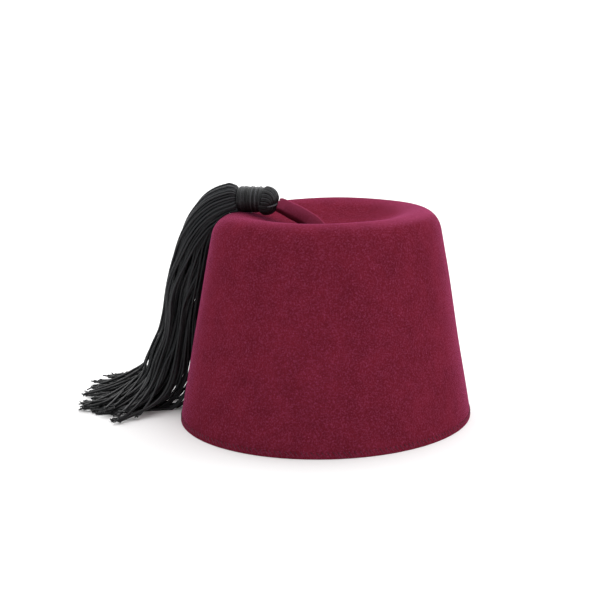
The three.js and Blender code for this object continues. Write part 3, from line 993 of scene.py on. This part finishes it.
class FEZ_OT_cords(bpy.types.Operator):
    """Let the tassel's cords fall over the side in locks and lie in a fan on the table, with knotted tips"""
    bl_idname = "fez.cords"
    bl_label = "Tassel cords"

    def execute(self, context):
        crown = context.scene.fez_crown
        tassel = context.scene.fez_tassel
        draw = np.random.default_rng(CORD_SEED)
        bundle = bundle_run()
        along = bundle["along"]
        free = smooth_step(along, *FREE_RUN)
        lying = smooth_step(along, *LYING_RUN)
        parted = smooth_step(along, *LOOSE_RUN)
        swirl = SWIRL * smooth_step(along, *SWIRL_RUN) * (1 - SWIRL_UNDONE * lying)
        gather = GATHER * free * (1 - GATHER_UNDONE * lying)
        lock_places = spread(tassel.locks)
        lock_waver = []
        for _ in lock_places:
            lock_waver.append([waver(draw, along, LOCK_WAVES[way]) for way in ("deep", "wide")])
        places = spread(tassel.cords)
        shorts = SHORT_LEAST + np.abs(draw.normal(0, SHORT_SPREAD, tassel.cords))
        shorts[LONG_CORDS] = draw.uniform(0.0, LONG_CORDS_SHORT, len(shorts[LONG_CORDS]))
        halves = {"tassel_cords_front": [], "tassel_cords_back": []}
        for (deep, wide), short in zip(places, shorts):
            lock = int(np.argmin(np.hypot(lock_places[:, 0] - deep, lock_places[:, 1] - wide)))
            twist = draw.normal(0, LOCK_TURN) * free
            from_lock = np.array((deep, wide)) - lock_places[lock]
            cos, sin = np.cos(twist), np.sin(twist)
            deep_run = lock_places[lock, 0] + (from_lock[0] * cos - from_lock[1] * sin) * (1 - gather)
            wide_run = lock_places[lock, 1] + (from_lock[0] * sin + from_lock[1] * cos) * (1 - gather)
            deep_run = deep_run + free * (lock_waver[lock][0] + waver(draw, along, CORD_WAVES["deep"]))
            wide_run = wide_run + free * (lock_waver[lock][1] + waver(draw, along, CORD_WAVES["wide"]))
            cos, sin = np.cos(swirl), np.sin(swirl)
            deep_run, wide_run = deep_run * cos - wide_run * sin, deep_run * sin + wide_run * cos
            half = "tassel_cords_front" if wide < 0 else "tassel_cords_back"
            halves[half] += self.cord(crown, tassel, bundle, deep_run, wide_run, short, draw)
        for row in LOOSE_CORDS:
            deep_run = row["deep"] + (row["foot_deep"] - row["deep"]) * parted
            wide_run = row["wide"] + (row["foot_wide"] - row["wide"]) * parted
            deep_run = deep_run + free * waver(draw, along, LOOSE_WAVES["deep"])
            wide_run = wide_run + free * waver(draw, along, LOOSE_WAVES["wide"])
            half = "tassel_cords_front" if row["wide"] < 0 else "tassel_cords_back"
            halves[half] += self.cord(crown, tassel, bundle, deep_run, wide_run, row["short"], draw)
        cord = tassel_cord()
        for name, tubes in halves.items():
            finish_piece(joined_tubes(name, tubes), "cord", cord, "tassel")
        return {"FINISHED"}

    def cord(self, crown, tassel, bundle, deep_run, wide_run, short, draw):
        """The tubes of one cord: the cord with its knot, and the frayed tails past the knot"""
        radius = tassel.cord_radius * draw.uniform(0.92, 1.08)
        along = bundle["along"]
        points = (bundle["middle"] + bundle["away"] * (deep_run * (bundle["deep"] - radius))[:, None]
                  + bundle["across"] * (wide_run * (bundle["wide"] - radius))[:, None])
        points += (smoothed(points, SMOOTH_POINTS) - points) * smooth_step(along, *SMOOTH_RUN)[:, None]
        # The fan's outline ends the cord, which loosens and sags up to there, clear of felt and table.
        from_foot = np.hypot(points[:, 0] + FAN_FOOT, points[:, 1])
        from_foot = from_foot - FAN_OPENS * np.maximum(points[:, 1], 0.0)
        end = along[np.argmax((from_foot > FAN_REACH - short) & (along > FAN_BEGINS))]
        loosening = np.maximum((along - end + LOOSE_END) / LOOSE_END, 0.0) ** 2
        points += bundle["across"] * (loosening * draw.normal(0, LOOSE_STRAY))[:, None]
        sag = draw.uniform(0.3, 0.9) * np.minimum(loosening, 1.0)
        points[:, 2] -= np.maximum(points[:, 2] - radius, 0.0) * sag
        points = clear_of_felt(points, crown, radius * 0.8)
        points[:, 2] = np.maximum(points[:, 2], radius)
        neck = along < NECK_END
        route = np.concatenate((points[neck], evenly(points[~neck & (along <= end)], CORD_STEP)))
        tip = evenly(route[-3:], TIP_STEP)
        route = np.concatenate((route[:-3], tip))
        # It is squeezed at the neck and swells at its knot; painted light and shade make it lighter at the
        # neck and darker on its way down.
        steps = np.linalg.norm(np.diff(route, axis=0), axis=1)
        down = np.concatenate(([0.0], np.cumsum(steps)))
        left = down[-1] - down
        knot = KNOT_SWELL * np.exp(-((left - KNOT_PLACE) / KNOT_LENGTH) ** 2)
        knot = knot - END_PINCH * np.exp(-(left / END_LENGTH) ** 2)
        radii = radius * (1 + knot) * (0.8 + 0.2 * smooth_step(down, *SQUEEZED_RUN))
        route[:, 2] = np.maximum(route[:, 2], radii)
        shade = draw.uniform(0.75, 1.3)
        painted_shading = NECK_SHADE - DROP_DARKER * smooth_step(down, *DROP_RUN)
        painted_shading = painted_shading - FAN_DARKER * smooth_step(down, *FAN_RUN)
        tubes = [(route, radii, CORD_SIDES, shade * painted_shading)]
        # Two or three frayed tails splay out past the knot.
        run = unit(route[-1] - route[-4])
        aside = unit(np.cross(run, (0.0, 0.0, 1.0)))
        t = np.linspace(0, 1, TAIL_POINTS)[:, None]
        for k in range(draw.integers(2, 4)):
            way = run * draw.uniform(0.1, 0.8) + aside * (-1) ** k * draw.uniform(0.5, 1.2)
            way = way + draw.normal(0, 0.3, 3) * (1, 1, 0.7)
            bend = draw.normal(0, 0.3, 3) * (1, 1, 0.4)
            tail = route[-1] + draw.uniform(*TAIL_LENGTHS) * (t * unit(way) + t * t * bend)
            tail[:, 2] = np.maximum(tail[:, 2], TAIL_RADII[0])
            tubes.append((tail, np.linspace(*TAIL_RADII, TAIL_POINTS), TAIL_SIDES, shade * painted_shading[-1]))
        return tubes


class FEZ_OT_stage(bpy.types.Operator):
    """Lay the pale floor, hang the soft lights and place the camera"""
    bl_idname = "fez.stage"
    bl_label = "Stage"

    def execute(self, context):
        stage = context.scene.fez_stage
        context.scene.view_settings.view_transform = "Standard"
        bpy.ops.object.select_all(action="DESELECT")
        bpy.ops.mesh.primitive_plane_add(size=FLOOR_SIZE)
        floor = context.active_object
        floor.name = "floor"
        # An even white that takes soft shadows and mirrors next to nothing.
        material, _, shader = new_material("white paper", Roughness=0.9)
        shader.inputs["Base Color"].default_value = (*stage.floor, 1.0)
        shader.inputs["Specular IOR Level"].default_value = 0.1
        floor.data.materials.append(material)
        world = context.scene.world or bpy.data.worlds.new("studio")
        context.scene.world = world
        world.use_nodes = True
        self.light_tent(world.node_tree)
        aim = Vector(VIEW_AIM)
        back = self.direction(stage.azimuth, stage.elevation)
        bpy.ops.object.camera_add(location=aim + back * stage.distance,
                                  rotation=back.to_track_quat("Z", "Y").to_euler())
        camera = context.active_object
        camera.data.lens = stage.lens
        context.scene.camera = camera
        return {"FINISHED"}

    def light_tent(self, tree):
        """A white tent that glows all round, with brighter walls"""
        way = add_node(tree, "ShaderNodeTexCoord", {})
        split = add_node(tree, "ShaderNodeSeparateXYZ", {0: way.outputs["Generated"]})
        strength = add_node(tree, "ShaderNodeMath", {0: TENT_BASE, 1: 0.0}, operation="ADD")
        for wall in TENT_WALLS:
            lobe = add_node(tree, "ShaderNodeMapRange", {
                "Value": split.outputs[wall["axis"]], "From Min": wall["dim"], "From Max": wall["bright"],
                "To Min": 0.0, "To Max": wall["strength"]})
            strength = add_node(tree, "ShaderNodeMath", {0: strength.outputs[0], 1: lobe.outputs[0]},
                                operation="ADD")
        background = tree.nodes["Background"]
        background.inputs["Color"].default_value = (1.0, 1.0, 1.0, 1.0)
        tree.links.new(strength.outputs[0], background.inputs["Strength"])

    def direction(self, azimuth, elevation):
        """Points from the hat towards a place round it, with azimuth 0 in front"""
        level = math.cos(elevation)
        return Vector((math.sin(azimuth) * level, -math.cos(azimuth) * level, math.sin(elevation)))


class FEZ_PT_panel(bpy.types.Panel):
    bl_idname = "FEZ_PT_panel"
    bl_label = "Fez"
    bl_space_type = "VIEW_3D"
    bl_region_type = "UI"
    bl_category = "Fez"

    def draw(self, context):
        for operator in OPERATORS:
            self.layout.operator(operator.bl_idname)
        for name in GROUPS:
            group = getattr(context.scene, name)
            box = self.layout.box()
            box.label(text=name.replace("fez_", "").title())
            for key in group.__annotations__:
                box.prop(group, key)


GROUPS = {
    "fez_crown": FEZ_PG_crown,
    "fez_stitches": FEZ_PG_stitches,
    "fez_stem": FEZ_PG_stem,
    "fez_tassel": FEZ_PG_tassel,
    "fez_binding": FEZ_PG_binding,
    "fez_stage": FEZ_PG_stage,
}
OPERATORS = (
    FEZ_OT_stage,
    FEZ_OT_crown,
    FEZ_OT_stitches,
    FEZ_OT_stem,
    FEZ_OT_tassel_head,
    FEZ_OT_binding,
    FEZ_OT_cords,
)


def register():
    for made in (*GROUPS.values(), *OPERATORS, FEZ_PT_panel):
        bpy.utils.register_class(made)
    for name, group in GROUPS.items():
        setattr(bpy.types.Scene, name, PointerProperty(type=group))


def unregister():
    for name in GROUPS:
        delattr(bpy.types.Scene, name)
    for made in reversed((*GROUPS.values(), *OPERATORS, FEZ_PT_panel)):
        bpy.utils.unregister_class(made)


def main():
    register()
    bpy.ops.fez.stage()
    bpy.ops.fez.crown()
    bpy.ops.fez.stitches()
    bpy.ops.fez.stem()
    bpy.ops.fez.tassel_head()
    bpy.ops.fez.binding()
    bpy.ops.fez.cords()


if __name__ == "__main__":
    main()
